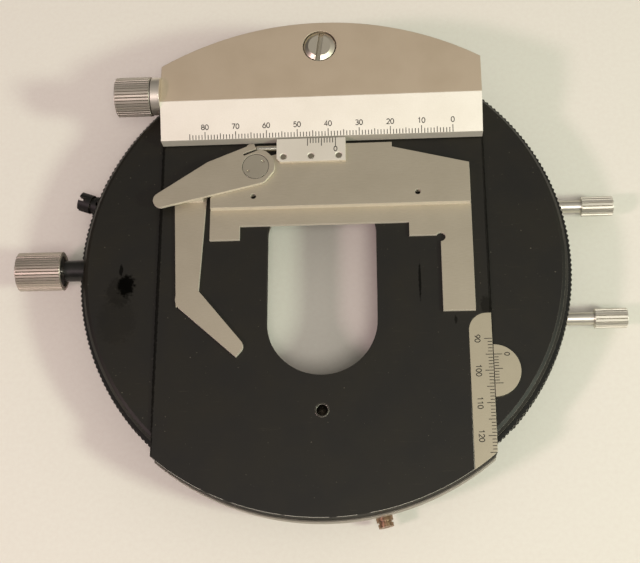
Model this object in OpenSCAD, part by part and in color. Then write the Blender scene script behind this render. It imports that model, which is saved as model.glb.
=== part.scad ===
// Round rotating microscope stage with a built-in cross movement and a slide holder.
// The rotation axis is Z. The underside of the base ring is at Z = 0.
// X runs to the right along the upper scale, Y runs away from the user.

/* [Stage] */
// Height of the slide plate's top face above the underside of the base
stage_h = 25; // [24:0.5:30]
// Radius of the turntable's upper edge
disc_r = 76.9; // [76.5:0.1:78]
// Step from the slide plate's top down to the turntable's top
disc_drop = 1.2; // [1:0.1:1.4]
// Width of the bevel on the turntable's upper edge
disc_bevel = 1.9; // [1.5:0.1:2.5]
// Width of the shallow inner part of that bevel
rim_w = 1; // [0.6:0.1:1.2]
// Thickness of the turntable floor under the slideway
floor_t = 3; // [2.6:0.1:3.2]

/* [Grip ring] */
// Stand of the teeth past the turntable's edge
grip_out = 1.55; // [1:0.05:2]
// Height of the toothed band
grip_h = 4.2; // [3:0.1:5]
// Distance of its top edge below the turntable's top
grip_drop = 4.1; // [3.5:0.1:4.5]
// Radial thickness of the ring
grip_t = 3; // [2:0.1:4]
// Number of straight teeth
grip_teeth = 300; // [200:10:360]
// Depth of a tooth
grip_tooth = 0.45; // [0.3:0.05:0.6]

/* [Slide plate] */
// Width of the slide plate
plate_w = 104; // [102:0.5:106]
// Thickness of the slide plate
plate_t = 7; // [6.6:0.1:7.4]
// Radius of the curved front edge
plate_front_r = 81.5; // [80:0.5:84]
// Centre of the front curve, behind or before the rotation axis
plate_front_y = 1.4; // [0:0.1:3]
// Width of the oblong light slot
slot_w = 34.5; // [28:0.5:36]
// Front end of the light slot
slot_front = -37; // [-38:0.5:-34]
// Rear end of the light slot
slot_rear = 26.3; // [24:0.1:27]
// Thickness of the plate at the edge of the light slot
slot_lip = 2.5; // [2:0.1:4]
// Radius of the threaded hole in the accessory bush
acc_r = 1.75; // [1.25:0.05:2.25]
// Wall of the accessory bush
acc_wall = 0.45; // [0.3:0.05:0.8]
// Place of the accessory hole in front of the axis
acc_y = -48; // [-52:0.5:-44]

/* [Slide carriage] */
// Thickness of the carriage under the slide plate
carr_t = 4; // [3.8:0.1:4.4]
// Overhang of the carriage flange past the slide plate, each side
carr_wing = 5; // [4.6:0.1:6]
// Ledge of the carriage in front of the slide plate
carr_lip = 0.5; // [0.2:0.1:1]
// Front end of the carriage's flanges
carr_front = -44; // [-46:1:-40]
// Rear end of the carriage
carr_rear = 48; // [44:1:54]
// Frame left around the light slot
carr_frame = 1.5; // [1:0.1:3]
// Shank radius of the screws that hold the slide plate
plate_screw_r = 1.5; // [1:0.1:2]
// Distance of these screws from the middle
plate_screw_x = 40; // [36:0.5:42]
// Spacing of these screws along Y
plate_screw_pitch = 40; // [30:1:42]

/* [Y drive] */
// Height of the knob axis below the slide plate's top
yknob_drop = 6.9; // [6.8:0.1:7.1]
// Place of the knob axis along Y
yknob_y = 1; // [0:0.1:2]
// Radius of the knob over its teeth
yknob_r = 6.25; // [6:0.05:6.7]
// Length of the knob
yknob_len = 14.8; // [12:0.1:20]
// Distance from the turntable's edge to the knob's inner face
yknob_out = 7.4; // [7:0.1:11]
// Radius of the bush that carries the shaft
ybush_r = 3.45; // [3:0.05:3.6]
// Radius of the shaft
yshaft_r = 1.6; // [1.2:0.1:1.8]
// Module of the rack and pinion
gear_module = 0.4; // [0.38:0.01:0.42]
// Teeth of the pinion
pinion_teeth = 10; // [9:1:11]
// Width of the pinion and rack
gear_w = 3.6; // [3:0.1:3.8]
// Teeth of the rack
rack_teeth = 29; // [28:1:30]

/* [X housing] */
// Front face of the scale bar
house_front = 40.9; // [40.7:0.1:42]
// Height of the housing over the slide plate
house_h = 9; // [9:0.1:10]
// Height of the scale bar's front edge
scale_front_h = 4.7; // [4.6:0.1:5]
// Depth of the sloping scale face
scale_depth = 12.1; // [12:0.1:13]
// Thickness of the scale bar
scale_t = 1.15; // [0.9:0.05:1.2]
// Thickness of the holder's tongue where it passes under the scale bar
tongue_t = 0.5; // [0.4:0.05:0.6]
// Radius of the housing's rear curve
house_rear_r = 101.4; // [95:0.2:110]
// Rear end of the housing on the centre line
house_rear = 80; // [79:0.2:82]
// Thickness of the end walls
house_wall = 3; // [2.5:0.1:3.1]
// Depth of the drive space behind the scale bar's front face
house_cavity = 21.1; // [21:0.1:22]
// Radius of the slotted clamp screw's head
clamp_r = 5.1; // [4:0.1:5.5]
// Place of the clamp screw behind the rotation axis
clamp_y = 71.4; // [71:0.1:72]

/* [X drive] */
// Height of the knob axis over the slide plate
xknob_h = 6; // [5.9:0.05:6.1]
// Place of the knob axis along Y
xknob_y = 56.5; // [56:0.1:56.8]
// Radius of the knob over its teeth
xknob_r = 6.4; // [6.2:0.05:6.9]
// Length of the knob
xknob_len = 11.5; // [10:0.1:16]
// Length of the plain collar between knob and housing
xcollar_len = 2.9; // [2:0.05:6]
// Radius of the lead screw
lead_r = 2; // [1.6:0.05:2]
// Radius of the guide rod
guide_r = 1.2; // [0.9:0.05:1.3]
// Guide rod behind the scale bar's front face
guide_back = 6.1; // [5.8:0.1:6.4]
// Width of the nut carriage
nut_w = 22; // [18:0.5:22]

/* [Slide holder] */
// Thickness of the thin lower plate
low_t = 1.1; // [0.8:0.05:1.15]
// Thickness of the upper plate
upp_t = 2.4; // [2.3:0.05:2.5]
// Thickness of the vernier plate
vern_t = 1.1; // [0.8:0.05:1.3]
// Left end of the holder
hold_left = -35.7; // [-36:0.1:-35.4]
// Right end of the holder
hold_right = 47.4; // [46:0.1:50]
// Front edge of the upper plate
upp_front = 17.4; // [16:0.1:18]
// Front edge of the lower plate
low_front = 11.9; // [11:0.1:14]
// Stop edge for the glass slide
stop_y = 7.3; // [6:0.1:8]
// Front end of the fixed leg
leg_front = -17.7; // [-24:0.1:-14]
// Width of the fixed leg
leg_w = 9.9; // [8:0.1:11]
// Width of the left stop pad
pad_w = 9.6; // [8:0.1:11]
// Left edge of the right stop pad
pad_right = 27.7; // [24:0.1:30]
// Radius of the relief in the inner corner
relief_r = 1.5; // [1:0.1:2]
// Width of the vernier plate
vern_w = 22.2; // [20:0.1:24]
// Depth of the vernier plate
vern_d = 8; // [7.5:0.1:8.5]
// Middle of the vernier plate
vern_x = -3.1; // [-4:0.1:-2]
// Radius of the rivets in the vernier plate
rivet_r = 0.87; // [0.7:0.01:1]

/* [Clip] */
// Place of the pivot along X
pivot_x = -20.9; // [-21.2:0.1:-20.6]
// Place of the pivot along Y
pivot_y = 30.9; // [30.7:0.1:31.1]
// Radius of the pivot screw's head
pivot_head_r = 4.15; // [3.8:0.05:4.3]
// Radius of the pivot screw's shoulder
pivot_r = 2.5; // [2:0.05:2.8]
// Radius of the lever's boss
boss_r = 6.1; // [5.9:0.1:6.3]
// Thickness of the lever
lever_t = 1.2; // [1.1:0.05:1.3]
// Reach of the lever's thumb end to the left of the pivot
thumb_dx = 30.3; // [29:0.1:32]
// Reach of the lever's thumb end in front of the pivot
thumb_dy = 10.7; // [10:0.1:11.5]
// Radius of the thumb end
thumb_r = 2.5; // [2:0.1:3]
// Width of the finger at its root
finger_root_w = 10.6; // [9:0.1:11]
// Width of the finger at its bend
finger_bend_w = 7; // [6:0.1:8]
// Place of the bend in front of the pivot
finger_bend_dy = 43; // [40:0.5:46]
// Reach of the finger's tip to the right of the bend
tip_dx = 15.2; // [13:0.1:17]
// Reach of the finger's tip in front of the bend
tip_dy = 15.7; // [13:0.1:18]
// Radius of the finger's tip
tip_r = 2.4; // [2:0.1:2.6]
// Radius of the spring plunger
plunger_r = 1; // [0.8:0.05:1]

/* [Scales] */
// Width of the long scale strip in the slide plate
strip_w = 6.9; // [6:0.1:8]
// Rear end of the strip
strip_rear = -18.4; // [-22:0.1:-16]
// Radius of its rounded corner
strip_corner = 5.5; // [4:0.1:6]
// Thickness of the strip
strip_t = 0.8; // [0.5:0.05:1]
// Radius of the half-moon vernier on the turntable
moon_r = 8.1; // [7:0.1:9]
// Middle of the half-moon vernier along Y
moon_y = -36.6; // [-39:0.1:-34]

/* [Base and centring] */
// Outer radius of the base ring
base_r = 69; // [68:0.2:72]
// Thickness of the base wall
base_wall = 5; // [4:0.1:5]
// Step from the turntable's light opening in to the condenser bore
bore_step = 0.5; // [0.3:0.1:4]
// Radius of the fixing holes
fix_r = 1.65; // [1.25:0.05:2.1]
// Room between the base wall and the centring ring
ring_room = 8; // [7.8:0.1:9]
// Thickness of the centring ring
ring_t = 4.1; // [4.1:0.05:4.3]
// Wall of the turntable's hub
hub_wall = 4.5; // [4:0.1:6]
// Thickness of the centring slide
slide_t = 2.2; // [2:0.1:2.4]
// Width of the guide keys
key_w = 4; // [3:0.1:6]
// Depth of the guide keys
key_h = 1; // [0.8:0.05:1.2]
// Number of bearing balls
ball_count = 24; // [12:1:30]
// Radius of a bearing ball
ball_r = 1.4; // [1.2:0.05:1.5]
// Distance of the ball track from the centring ring's edge
ball_in = 6.5; // [6:0.1:7]
// Height of the centring screws over the base underside
screw_h = 7.8; // [7.7:0.05:7.9]
// Rear centring screw behind the axis
rear_y = 22.8; // [22:0.1:23.4]
// Front centring screw in front of the axis
front_y = 15.8; // [15.2:0.1:16.4]
// Radius of a centring screw's rod
rod_r = 2; // [1.6:0.05:2.1]
// Radius of a centring screw's head
rod_head_r = 3.2; // [2.6:0.05:3.3]
// Length of a centring screw's head
rod_head_len = 10.4; // [8:0.2:14]
// Stand of the rear screw's head past the grip ring
rear_head_out = 5.9; // [5:0.1:10]
// Stand of the front screw's head past the grip ring
front_head_out = 7.4; // [5:0.1:10]
// Stand of the screw tips past the centring ring
tip_out = 1.2; // [1:0.1:1.4]
// Direction of the counter-spring plug
plug_a = 160.3; // [156:0.1:164]
// Radius of the plug's head
plug_r = 3.2; // [2.8:0.05:3.3]
// Stand of the plug past the grip ring
plug_out = 10.1; // [9:0.1:13]
// Direction of the brake screw
brake_a = -77.1; // [-82:0.1:-72]
// Radius of the brake screw's head
brake_r = 2.6; // [2.2:0.05:2.9]
// Stand of the brake screw past the grip ring
brake_out = 4.6; // [4.4:0.1:8]

/* [Hidden] */
$fn = 96;

// Radii, from the turntable's edge out to the grips and from the base wall in to the bore
grip_r = disc_r + grip_out;
yknob_x = disc_r + yknob_out;
rear_head_x = grip_r + rear_head_out;
front_head_x = grip_r + front_head_out;
plug_end = grip_r + plug_out;
brake_end = grip_r + brake_out;
wall_in = base_r - base_wall;
ring_r = wall_in - ring_room;
fix_pcr = (wall_in + ring_r) / 2;
tip_x = ring_r + tip_out;
lug_gap = 1.6;
lug_r = wall_in - lug_gap;
ball_pcr = ring_r - ball_in;
hub_gap = 5.5;
hub_r = ball_pcr - hub_gap;
light_r = hub_r - hub_wall;
bore_r = light_r - bore_step;

// Clearances
run_gap = 0.05;
press_gap = 0.01;
side_gap = 0.2;
shim_gap = 0.2;
safe_gap = 0.3;
cut = 1;

// Heights, from the slide plate's top down to the base
plate_bot = stage_h - plate_t;
carr_bot = plate_bot - carr_t;
way_floor = carr_bot - shim_gap;
disc_top = stage_h - disc_drop;
disc_bot = way_floor - floor_t;
race_gap = 0.9;
ring_top = disc_bot - race_gap;
ring_bot = ring_top - ring_t;
slide_top = ring_bot - shim_gap;
slide_bot = slide_top - slide_t;
base_floor = slide_bot - shim_gap;
base_top = disc_bot - shim_gap - safe_gap;
hub_bot = ring_bot - shim_gap;
retain_t = 1.4;
retain_over = 2.3;
ball_z = disc_bot - race_gap / 2;
race_r = ball_r + run_gap;
cage_t = race_gap / 2;
cage_half = 1.9;

// Turntable and slideway
way_gap = 0.15;
lid_gap = 0.1;
way_half = plate_w / 2 + way_gap;
way_lid = plate_bot + lid_gap;
wing_half = plate_w / 2 + carr_wing;
wing_way = wing_half + side_gap;
way_long = 4 * disc_r;
grip_top = disc_top - grip_drop;
grip_bot = grip_top - grip_h;
grip_in = grip_r - grip_t;
grip_seat = grip_top + safe_gap;
lip_h = 1.5;
rim_drop = 0.4;
retain_screw_r = 1;
retain_screw_len = 4.9;
retain_pcr = (light_r + hub_r) / 2;
retain_count = 6;

// Slide plate outline
house_half = plate_w / 2;
house_rear_y = house_rear - house_rear_r;
plate_rear_r = house_rear_r - 0.4;
plate_head_r = 2 * plate_screw_r - lid_gap;
plate_head_t = 1;
strip_gap = 0.1;

// Y drive
yknob_z = stage_h - yknob_drop;
pitch_r = gear_module * pinion_teeth / 2;
pinion_out = pitch_r + gear_module;
gear_pitch = PI * gear_module;
rack_pitch_z = yknob_z - pitch_r;
rack_top = rack_pitch_z + gear_module;
rack_back = 1.6;
rack_bot = rack_top - rack_back;
gear_x = -(way_half + wing_way) / 2;
spigot_r = pitch_r - 2.2 * gear_module;
rack_len = rack_teeth * gear_pitch;
rack_start = rack_tooth_y(0) - gear_pitch / 2;
rack_bay = 1;
pinion_bay = pinion_out + safe_gap;
pinion_root = pitch_r - 1.15 * gear_module;
rack_root = rack_top - 2.2 * gear_module;
ybush_deep = 8.9;
ybush_in = disc_r - ybush_deep;
ybush_gap = 0.6;
core_t = 2.2;
core_wall = 1.2;
knob_cap = 2;
knob_teeth = 38;
head_teeth = 18;
knurl_d = 0.3;
knurl_step = 0.2;

// X housing and drive
house_z = stage_h;
scale_rear = house_front + scale_depth;
wedge_under = scale_front_h - scale_t * 0.55;
wedge_rear_h = house_h - scale_t;
cavity_half = house_half - house_wall;
cavity_h = xknob_h + lead_r + safe_gap;
xknob_z = house_z + xknob_h;
guide_y = house_front + guide_back;
guide_h = 3;
rod_skin = 1;
collar_step = 0.3;
collar_r = xknob_r - collar_step;
clamp_shank_r = clamp_r / 2;
clamp_sink = 2.2;
clamp_rim = 1.8;
clamp_cone_w = 1.4;
clamp_cone_h = 0.8;
clamp_moat = 0.45;
clamp_slot = 1.6;
clamp_web = 0.5;
clamp_lean = 7.5;
xknob_gap = 0.3;
nut_front = house_front + 3.1;
nut_top = xknob_h + 1.2;

// Slide holder levels over the slide plate
low_z = stage_h + 0.1;
tongue_gap = low_z - stage_h + tongue_t + lid_gap;
upp_z = low_z + low_t;
vern_z = upp_z + upp_t;
lever_z = vern_z + run_gap;
plunger_z = upp_z + upp_t - plunger_r - 0.1;
plunger_dy = 7.1;
plunger_back = 4;
plunger_dx = 0.45;
spring_reach = 8;
plunger_y = pivot_y + plunger_dy;
plunger_end = vern_x - plunger_back;
plunger_tip = pivot_x - plunger_dx;
plunger_nose = 0.6;
spring_end = vern_x + spring_reach;
channel_half = plunger_r + run_gap;
tongue_half = nut_w / 2 - 1;
tongue_rear = xknob_y + 3.7;
tongue_right = vern_x + vern_w / 2 - side_gap;
upp_rear = plunger_y + 2;
upp_shoulder = upp_rear - 1.4;
upp_shoulder_x = 22.8;
upp_right_y = 30.8;
vern_left = vern_x - vern_w / 2;
vern_front = house_front - 0.6 - vern_d;
fix_screw_r = 0.8;
fix_screw_len = low_t + upp_t - 0.8;
pin_hole_r = 0.95;
pin_left_dx = 0.7;
pin_right_dx = 16.7;
pin_back = 3.7;
fix_left = 8;
fix_right = 9;
fix_back = 6;
fix_in = 4;
rivet_step = 8.9;
rivet_sink = 0.3;
rivet_root = 0.6;
rivet_y = vern_front + 1.8;

// Clip
thumb_x = pivot_x - thumb_dx;
thumb_y = pivot_y - thumb_dy;
tab_dx = 1.85;
tab_x = pivot_x - tab_dx;
tab_y = plunger_y;
tab_r = 1.3;
tab_drop = 1;
tab_lean = 23;
tab_long = 1.85;
tab_end = 2.3;
boss_flat = 5.7;
slit_dx = 3.8;
slit_dy = 3.85;
slit_a = 22;
boss_flat_a = -38;
pivot_sink = 0.7;
pivot_low = 0.1;
slit_w = 0.8;
knee_dx = 14.1;
knee_dy = 0.9;
knee_r = 3.2;
knee_x = pivot_x - knee_dx;
knee_y = pivot_y - knee_dy;
finger_dx = 21.3;
finger_x = pivot_x - finger_dx;
finger_bend_r = 4.1;
finger_z = stage_h + 0.15;
bend_y = pivot_y - finger_bend_dy;
finger_rake = 0.3;
finger_under = 6;
finger_top = pivot_y - finger_under;
finger_in = 2.4;
finger_heel = 2.6;
post_w = 8.4;
post_d = 4.4;

// Base and centring
diag = sqrt(2);
rear_face = (tip_x + rear_y) / diag;
front_face = (tip_x + front_y) / diag;
contact_gap = 0.1;
tip_len = 4;
swivel_r = rod_r - run_gap;
stem_r = 0.9;
stem_len = 3;
lug_w = 10;
lug_side = (tip_x - front_y) / diag - lug_w / 2;
foot_w = 11;
foot_side = (rear_y - tip_x) / diag - foot_w / 2;
foot_d = 12;
foot_gap = 1.3;
key_in = ball_pcr - 0.5;
key_len = ring_r - ball_pcr - 0.5;
groove_in = ball_pcr - 4;
groove_len = ring_r - ball_pcr + 7;
plug_neck = 2.5;
plug_slot = 1.3;
plug_well = 1.4;
plug_cut = 2.4;
spring_r = 1.7;
spring_wire = 0.6;
brake_neck = 2;
brake_point = 0.3;
brake_pin_r = 1;
brake_pcr = base_r - base_wall / 2;
brake_rise = (brake_neck - brake_point) * (brake_pcr + brake_pin_r - wall_in) / base_wall;
brake_seat = screw_h + brake_point + brake_rise + contact_gap;
brake_head = grip_r + 0.7;
plug_head = grip_r + 1.3;

function polar(r, a) = [r * cos(a), r * sin(a)];
function toothed(r, depth, n) =
  [for (i = [0 : 2 * n - 1]) polar(i % 2 == 0 ? r : r - depth, 180 * i / n)];

land_half = 0.31;
function grooved(r, depth, n) = [
  for (i = [0 : n - 1]) for (k = [-land_half, land_half, 0.5])
    polar(k == 0.5 ? r - depth : r, (i + k) * 360 / n)
];

// Lays a shape that was drawn along Z on the X axis, at the given start and place
module along_x(x, y, z) {
  translate([x, y, z]) rotate([90, 0, 90]) children();
}

// Lays a shape that was drawn along Z on a radius of the stage
module radial(a, r, z) {
  rotate([0, 0, a]) translate([r, 0, z]) rotate([90, 0, 90]) children();
}

module tube(r_out, r_in, h) {
  difference() {
    cylinder(r = r_out, h = h);
    translate([0, 0, -cut]) cylinder(r = r_in, h = h + 2 * cut);
  }
}

// Straight-knurled grip with a plain step at each end
module knurled(r, len, n, depth, step) {
  translate([0, 0, step]) linear_extrude(len - 2 * step) polygon(grooved(r, depth, n));
  cylinder(r = r - depth - 0.1, h = len);
}

// Bar with round ends of two sizes
module taper_link(a, ra, b, rb) {
  d = norm(b - a);
  t = atan2(b[1] - a[1], b[0] - a[0]);
  s = acos((ra - rb) / d);
  translate(a) circle(ra);
  translate(b) circle(rb);
  polygon([a + polar(ra, t + s), b + polar(rb, t + s), b + polar(rb, t - s), a + polar(ra, t - s)]);
}

module stadium(half, front, rear) {
  translate([0, front + half]) circle(half);
  translate([0, rear - half]) circle(half);
  translate([-half, front + half]) square([2 * half, rear - front - 2 * half]);
}

module plate_outline() {
  intersection() {
    translate([-plate_w / 2, -2 * disc_r]) square([plate_w, 4 * disc_r]);
    union() {
      translate([0, plate_front_y]) circle(plate_front_r, $fn = 200);
      translate([-plate_w / 2, 0]) square([plate_w, 2 * disc_r]);
    }
    translate([0, house_rear_y]) circle(plate_rear_r, $fn = 200);
  }
}

module strip_outline(grow) {
  x0 = plate_w / 2 - strip_w - grow;
  y1 = strip_rear + grow;
  intersection() {
    union() {
      translate([x0, -2 * disc_r]) square([strip_w + grow, 2 * disc_r + y1 - strip_corner]);
      translate([x0 + strip_corner, -2 * disc_r]) square([strip_w + grow - strip_corner, 2 * disc_r + y1]);
      translate([x0 + strip_corner, y1 - strip_corner]) circle(strip_corner);
    }
    plate_outline();
  }
}

module slideway(extra) {
  translate([-way_half - extra, -way_long / 2, way_lid])
    cube([2 * (way_half + extra), way_long, plate_t + cut]);
  translate([-wing_way - extra, -way_long / 2, way_floor])
    cube([2 * (wing_way + extra), way_long, way_lid - way_floor]);
}

// Base ring with its floor, wall, screw bores and guide grooves
module base_ring() {
  color([0.16, 0.16, 0.15]) difference() {
    rotate_extrude($fn = 200) polygon([
      [bore_r, 0], [base_r, 0], [base_r, base_top], [wall_in, base_top],
      [wall_in, base_floor], [bore_r, base_floor]
    ]);
    for (a = [45, 225]) rotate([0, 0, a])
      translate([groove_in, -key_w / 2 - run_gap, base_floor - key_h - run_gap])
        cube([groove_len, key_w + 2 * run_gap, key_h + run_gap + cut]);
    for (a = [0 : 90 : 270]) translate([fix_pcr * cos(a), fix_pcr * sin(a), -cut])
      cylinder(r = fix_r, h = base_floor + 2 * cut);
    for (y = [rear_y, -front_y]) along_x(tip_x - 2, y, screw_h)
      cylinder(r = rod_r + run_gap, h = base_r);
    radial(plug_a, wall_in - cut, screw_h) cylinder(r = plug_neck + press_gap, h = base_wall + 2 * cut);
    radial(brake_a, wall_in - cut, screw_h) cylinder(r = brake_neck + run_gap, h = base_wall + 2 * cut);
    rotate([0, 0, brake_a]) translate([brake_pcr, 0, screw_h])
      cylinder(r = brake_pin_r + press_gap, h = base_top);
  }
}

// Floating slide under the bearing ring: moves along the rear diagonal
module centring_slide() {
  color([0.62, 0.61, 0.58]) difference() {
    union() {
      translate([0, 0, slide_bot]) tube(ring_r, ball_pcr - 2, slide_t);
      for (a = [45, 225]) rotate([0, 0, a])
        translate([key_in, -key_w / 2, slide_bot - key_h]) cube([key_len, key_w, key_h + slide_t / 2]);
      linear_foot(slide_bot, slide_t, ball_pcr);
      linear_foot(slide_bot, screw_h + rod_r + side_gap - slide_bot, ring_r + foot_gap);
    }
    for (a = [-45, 135]) rotate([0, 0, a])
      translate([groove_in, -key_w / 2 - run_gap, slide_top - key_h - run_gap])
        cube([ring_r, key_w + 2 * run_gap, key_h + run_gap + cut]);
  }
}

// Foot of the centring slide that ends in the flat which the rear tip bears on
module linear_foot(z, h, r_in) {
  translate([0, 0, z]) linear_extrude(h) difference() {
    intersection() {
      circle(lug_r);
      rotate(45) translate([rear_face - foot_d, foot_side]) square([foot_d, foot_w]);
    }
    circle(r_in);
  }
}

// Bearing ring of the turntable: moves along the front diagonal on the slide
module centring_ring() {
  color([0.55, 0.54, 0.5]) difference() {
    union() {
      translate([0, 0, ring_bot]) tube(ring_r, hub_r + run_gap, ring_t);
      translate([0, 0, ring_bot]) linear_extrude(ring_t) difference() {
        intersection() {
          circle(lug_r);
          rotate(-45) translate([front_face - foot_d, lug_side]) square([foot_d, lug_w]);
        }
        circle(ring_r - 2);
      }
      for (a = [-45, 135]) rotate([0, 0, a])
        translate([key_in, -key_w / 2, ring_bot - key_h]) cube([key_len, key_w, key_h + ring_t / 2]);
    }
    ball_race();
  }
}

module ball_race() {
  translate([0, 0, ball_z]) rotate_extrude($fn = 200) translate([ball_pcr, 0]) circle(race_r);
}

module ball_cage() {
  color([0.72, 0.58, 0.3]) difference() {
    translate([0, 0, ball_z - cage_t / 2]) tube(ball_pcr + cage_half, ball_pcr - cage_half, cage_t);
    for (i = [0 : ball_count - 1]) rotate([0, 0, i * 360 / ball_count])
      translate([ball_pcr, 0, ball_z - cut]) cylinder(r = ball_r + run_gap, h = 2 * cut, $fn = 32);
  }
}

module bearing_balls() {
  color([0.8, 0.8, 0.8]) for (i = [0 : ball_count - 1]) rotate([0, 0, i * 360 / ball_count])
    translate([ball_pcr, 0, ball_z]) sphere(r = ball_r, $fn = 32);
}

// Swivel tip: a cone that bears on a diagonal flat, with a stem in the screw's end
module centring_tip(y) {
  color([0.7, 0.69, 0.66]) along_x(tip_x + contact_gap, y, screw_h) {
    cylinder(r1 = 0, r2 = swivel_r, h = swivel_r);
    translate([0, 0, swivel_r]) cylinder(r = swivel_r, h = tip_len);
    translate([0, 0, swivel_r + tip_len]) cylinder(r = stem_r, h = stem_len);
  }
}

module centring_screw(y, head_x) {
  start = tip_x + contact_gap + swivel_r + tip_len + run_gap;
  color([0.78, 0.77, 0.73]) difference() {
    union() {
      along_x(start, y, screw_h) cylinder(r = rod_r, h = head_x - start + cut);
      along_x(head_x, y, screw_h) knurled(rod_head_r, rod_head_len, head_teeth, knurl_d, knurl_step);
    }
    along_x(start - cut, y, screw_h) cylinder(r = stem_r + run_gap, h = stem_len + cut + shim_gap);
  }
}

module rear_centring_tip() {
  centring_tip(rear_y);
}

module rear_centring_screw() {
  centring_screw(rear_y, rear_head_x);
}

module front_centring_tip() {
  centring_tip(-front_y);
}

module front_centring_screw() {
  centring_screw(-front_y, front_head_x);
}

// Black plug in the base wall that holds the counter-spring
module spring_plug() {
  color([0.1, 0.1, 0.09]) difference() {
    union() {
      radial(plug_a, wall_in - cut, screw_h) cylinder(r = plug_neck, h = plug_head - wall_in + 1.5 * cut);
      radial(plug_a, plug_head, screw_h) cylinder(r = plug_r, h = 3.4);
      radial(plug_a, plug_head + 3, screw_h) cylinder(r = plug_r - 0.7, h = 2);
      radial(plug_a, plug_head + 4.6, screw_h) cylinder(r = plug_r, h = plug_end - plug_head - 4.6);
    }
    radial(plug_a, wall_in - 2 * cut, screw_h) cylinder(r = spring_r + contact_gap, h = base_wall);
    radial(plug_a, plug_end - plug_cut, screw_h) {
      for (a = [0, 90]) rotate([0, 0, a]) translate([-plug_slot / 2, -plug_r - cut, 0])
        cube([plug_slot, 2 * (plug_r + cut), plug_cut + cut]);
      cylinder(r = plug_well, h = plug_cut + cut, $fn = 32);
    }
    rotate([0, 0, plug_a]) translate([plug_head + 1.7, 0, screw_h - plug_r - cut])
      cylinder(r = 0.9, h = 2 * (plug_r + cut), $fn = 32);
  }
}

// Counter-spring between the plug and the bearing ring, shown as its outline
module counter_spring() {
  color([0.6, 0.6, 0.58]) radial(plug_a, ring_r + run_gap, screw_h)
    tube(spring_r, spring_r - spring_wire, wall_in - ring_r + base_wall - 2 * cut - contact_gap);
}

// Brass screw that wedges the brake pin against the turntable
module brake_screw() {
  color([0.72, 0.52, 0.2]) {
    radial(brake_a, wall_in, screw_h) cylinder(r1 = brake_point, r2 = brake_neck, h = base_wall);
    radial(brake_a, base_r, screw_h) cylinder(r = brake_neck, h = brake_head - base_r + cut / 2);
    difference() {
      union() {
        radial(brake_a, brake_head, screw_h) cylinder(r = brake_r, h = 2.1);
        radial(brake_a, brake_head + 2, screw_h) cylinder(r = brake_r - 0.6, h = cut);
        radial(brake_a, brake_head + 2.8, screw_h)
          cylinder(r = brake_r - 0.2, h = brake_end - brake_head - 2.8);
      }
      radial(brake_a, brake_end - 0.6, screw_h) translate([-brake_r - cut, -cut / 2, 0])
        cube([2 * brake_r + 2 * cut, cut, 2 * cut]);
    }
  }
}

module brake_pin() {
  color([0.72, 0.52, 0.2]) rotate([0, 0, brake_a])
    translate([brake_pcr, 0, brake_seat])
      cylinder(r = brake_pin_r, h = disc_bot - lid_gap - brake_seat);
}

// Turntable with bevelled rim, hub, ball race and the slideway across it
module turntable() {
  color([0.13, 0.13, 0.12]) difference() {
    rotate_extrude($fn = 200) polygon([
      [light_r, hub_bot], [hub_r, hub_bot], [hub_r, disc_bot], [grip_in - press_gap, disc_bot],
      [grip_in - press_gap, grip_seat], [disc_r, grip_seat],
      [disc_r, disc_top - lip_h], [disc_r - disc_bevel + rim_w, disc_top - rim_drop],
      [disc_r - disc_bevel, disc_top], [light_r, disc_top]
    ]);
    slideway(0);
    ball_race();
    translate([-wing_way, yknob_y - pinion_bay, way_floor])
      cube([wing_way - way_half + cut, 2 * pinion_bay, yknob_z + pinion_bay - way_floor]);
    along_x(-disc_r - cut, yknob_y, yknob_z) cylinder(r = ybush_r + press_gap, h = disc_r + cut - ybush_in);
    along_x(-disc_r, yknob_y, yknob_z) cylinder(r = yshaft_r + run_gap, h = disc_r - way_half);
    retain_screw_places()
      cylinder(r = retain_screw_r + press_gap, h = retain_screw_len + side_gap, $fn = 32);
  }
}

// Toothed ring that turns the stage by hand
module grip_ring() {
  color([0.17, 0.17, 0.16]) difference() {
    translate([0, 0, grip_bot]) linear_extrude(grip_h) difference() {
      polygon(toothed(grip_r, grip_tooth, grip_teeth));
      circle(grip_in, $fn = 200);
    }
    slideway(0.05);
    along_x(-2 * disc_r, yknob_y, yknob_z) cylinder(r = ybush_r + press_gap, h = 2 * disc_r);
  }
}

// Keeps the turntable's hub from lifting out of the bearing ring
module retaining_ring() {
  color([0.6, 0.6, 0.57]) difference() {
    translate([0, 0, hub_bot - retain_t]) tube(hub_r + retain_over, light_r + side_gap, retain_t);
    retain_screw_places() translate([0, 0, -cut])
      cylinder(r = retain_screw_r + press_gap, h = retain_t + 2 * cut, $fn = 32);
  }
}

module retaining_screws() {
  color([0.5, 0.5, 0.48]) retain_screw_places()
    cylinder(r = retain_screw_r, h = retain_screw_len, $fn = 32);
}

module retain_screw_places() {
  for (i = [0 : retain_count - 1]) rotate([0, 0, (i + 0.5) * 360 / retain_count])
    translate([retain_pcr, 0, hub_bot - retain_t]) children();
}

// Half-moon vernier on the turntable, level with the slide plate
module y_vernier() {
  color([0.8, 0.79, 0.74]) translate([0, 0, disc_top]) linear_extrude(disc_drop) intersection() {
    translate([way_half, moon_y]) circle(moon_r);
    translate([way_half + 0.1, moon_y - 2 * moon_r]) square([2 * moon_r, 4 * moon_r]);
  }
}

module y_bush() {
  len = yknob_x - ybush_gap - ybush_in;
  color([0.08, 0.08, 0.08]) along_x(-ybush_in - len, yknob_y, yknob_z)
    tube(ybush_r, yshaft_r + run_gap, len);
}

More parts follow.
